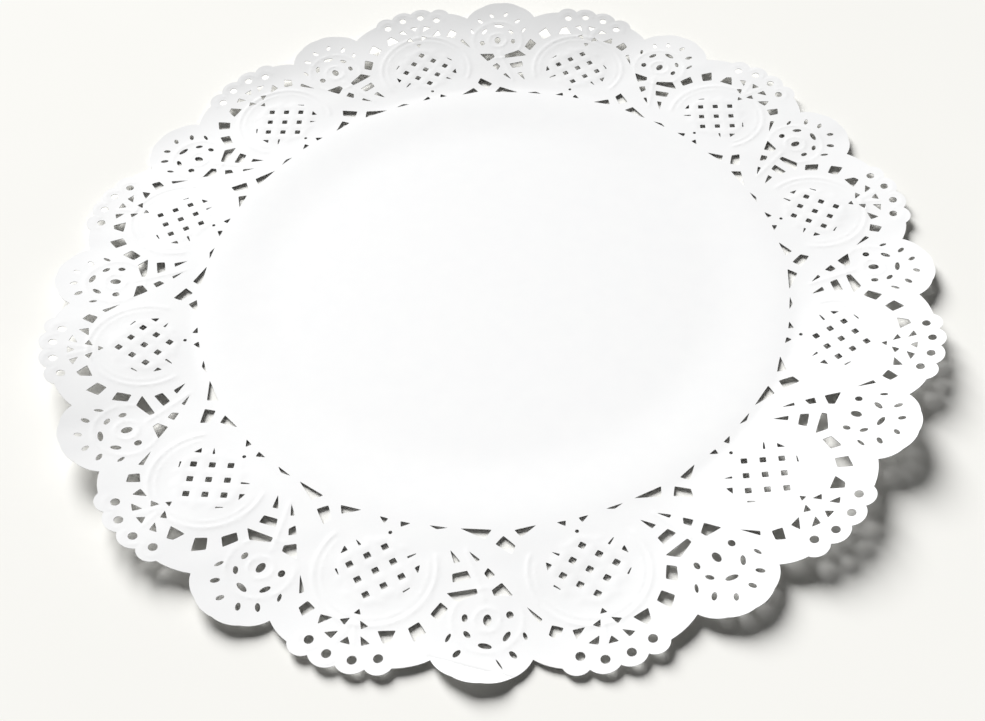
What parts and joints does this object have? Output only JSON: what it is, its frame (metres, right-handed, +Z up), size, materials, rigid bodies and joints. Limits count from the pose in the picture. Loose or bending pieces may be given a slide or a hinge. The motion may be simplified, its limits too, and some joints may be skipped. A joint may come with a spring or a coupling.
{
  "type": "lace doily",
  "caption": "Round paper lace doily with a plain centre, a die-cut openwork border that lifts in gentle waves, and a scalloped edge.",
  "frame": {"origin": "centre of the doily's underside, on the surface that it lies on", "axes": "+Z up out of the surface, -Y towards the viewer, +X to the right"},
  "size_m": [0.3026, 0.3024, 0.0118],
  "materials": {
    "doily": "matt white embossed paper"
  },
  "bodies": {
    "root": {"doily": "doily"}
  },
  "joints": []
}
